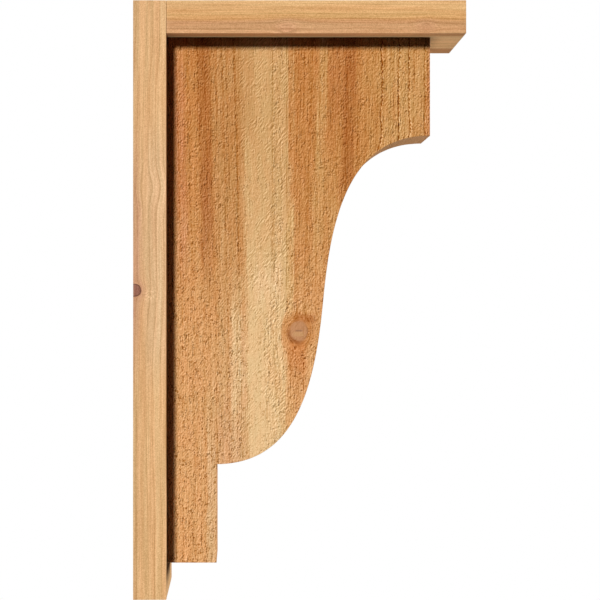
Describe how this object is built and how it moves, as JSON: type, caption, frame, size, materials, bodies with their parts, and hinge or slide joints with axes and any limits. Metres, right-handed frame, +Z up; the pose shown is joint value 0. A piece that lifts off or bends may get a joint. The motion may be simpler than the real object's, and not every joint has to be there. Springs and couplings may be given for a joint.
{
  "type": "wooden corbel bracket",
  "caption": "Rough-sawn wooden corbel with an ogee front edge between a planed back plate for the wall and a planed top arm that carries an eave, beam or shelf.",
  "frame": {"origin": "centre of the back plate's rear face, which lies flat against the wall", "axes": "+X out from the wall along the arm, +Y along the wall across the bracket's width, +Z up"},
  "size_m": [0.381, 0.1396, 0.6858],
  "materials": {
    "back_plate_planed_cedar": "planed, unfinished",
    "arm_planed_cedar": "planed, unfinished",
    "corbel_rough_sawn_cedar": "rough sawn, unfinished"
  },
  "bodies": {
    "root": {"back_plate": "back_plate_planed_cedar", "arm": "arm_planed_cedar", "corbel": "corbel_rough_sawn_cedar"}
  },
  "joints": []
}
